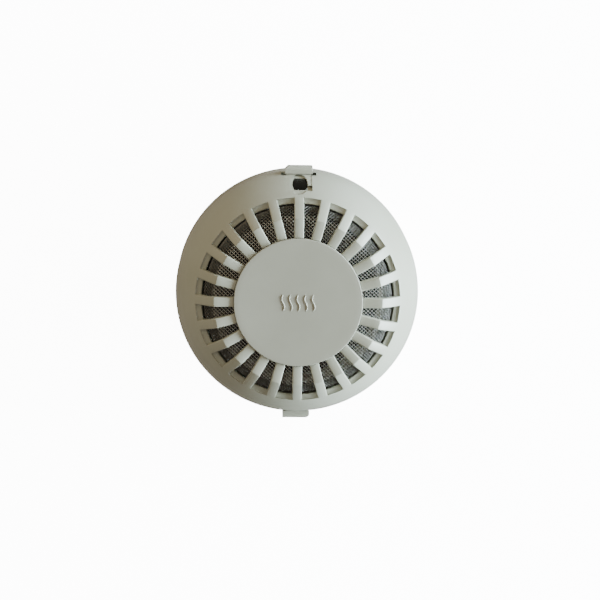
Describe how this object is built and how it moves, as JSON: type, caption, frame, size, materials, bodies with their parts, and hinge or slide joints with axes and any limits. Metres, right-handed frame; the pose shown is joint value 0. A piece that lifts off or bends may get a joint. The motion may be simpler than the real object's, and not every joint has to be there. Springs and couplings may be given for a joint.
{
  "type": "ceiling fire detector head and base",
  "caption": "Round ceiling heat and smoke detector: ribbed grille cover over an insect screen, twist-lock head and mounting base.",
  "frame": {"origin": "centre of the base's flat back, the face that goes against the ceiling", "axes": "+Z from the ceiling out through the detector's face, +Y towards the status window and upper latch, +X to the right seen from the face"},
  "size_m": [0.1024, 0.1052, 0.0424],
  "materials": {
    "cover_plastic": "fine moulded grain, warm light grey",
    "base_plastic": "fine moulded grain",
    "black_plastic": "matt black moulding",
    "screen_steel": "expanded metal",
    "solder_mask": "solder-masked laminate",
    "nickel": "nickel plated strip",
    "screw_steel": "zinc plated",
    "smoked_lens": "polished smoked acrylic",
    "clear_led": "tinted epoxy",
    "chip_black": "moulded epoxy",
    "reed_glass": "clear tube",
    "seal_foam": "closed-cell foam",
    "bead_epoxy": "dipped epoxy"
  },
  "bodies": {
    "base": {"mounting_base": "base_plastic", "contact_leaf_1": "nickel", "contact_leaf_2": "nickel", "contact_leaf_3": "nickel", "contact_leaf_4": "nickel", "terminal_clamp_1": "nickel", "terminal_clamp_2": "nickel", "terminal_clamp_3": "nickel", "terminal_clamp_4": "nickel", "terminal_screw_1": "screw_steel", "terminal_screw_2": "screw_steel", "terminal_screw_3": "screw_steel", "terminal_screw_4": "screw_steel"},
    "head": {"head_chassis": "base_plastic", "contact_blade_1": "nickel", "contact_blade_2": "nickel", "contact_blade_3": "nickel", "contact_blade_4": "nickel", "circuit_board": "solder_mask", "board_screw_1": "screw_steel", "board_screw_2": "screw_steel", "board_screw_3": "screw_steel", "control_chip": "chip_black", "bridge_rectifier": "chip_black", "tantalum_capacitor": "bead_epoxy", "reed_switch": "reed_glass", "indicator_led": "clear_led", "dust_seal": "seal_foam", "chamber_floor": "black_plastic", "chamber_lid": "black_plastic", "infrared_emitter": "clear_led", "photodiode": "chip_black", "thermistor_1": "bead_epoxy", "thermistor_2": "bead_epoxy", "insect_screen": "screen_steel", "screen_ring": "base_plastic"},
    "cover": {"outer_cover": "cover_plastic", "centre_cap": "cover_plastic", "status_window": "smoked_lens"},
    "latch_top": {"cover_latch_top": "cover_plastic"},
    "latch_bottom": {"cover_latch_bottom": "cover_plastic"}
  },
  "joints": [
    {"name": "head_twist", "type": "hinge", "parent": "base", "child": "head", "pos_m": [0, 0, 0.008], "axis": [0, 0, 1], "range_deg": [0, 24]},
    {"name": "cover_lift", "type": "slide", "parent": "head", "child": "cover", "axis": [0, 0, 1], "range_m": [0, 0.045]},
    {"name": "latch_top_flex", "type": "hinge", "parent": "cover", "child": "latch_top", "pos_m": [0, 0.0496, 0.0193], "axis": [1, 0, 0], "range_deg": [0, 8], "stiffness_Nm_per_rad": 0.6},
    {"name": "latch_bottom_flex", "type": "hinge", "parent": "cover", "child": "latch_bottom", "pos_m": [0, -0.0496, 0.0193], "axis": [-1, 0, 0], "range_deg": [0, 8], "stiffness_Nm_per_rad": 0.6}
  ]
}
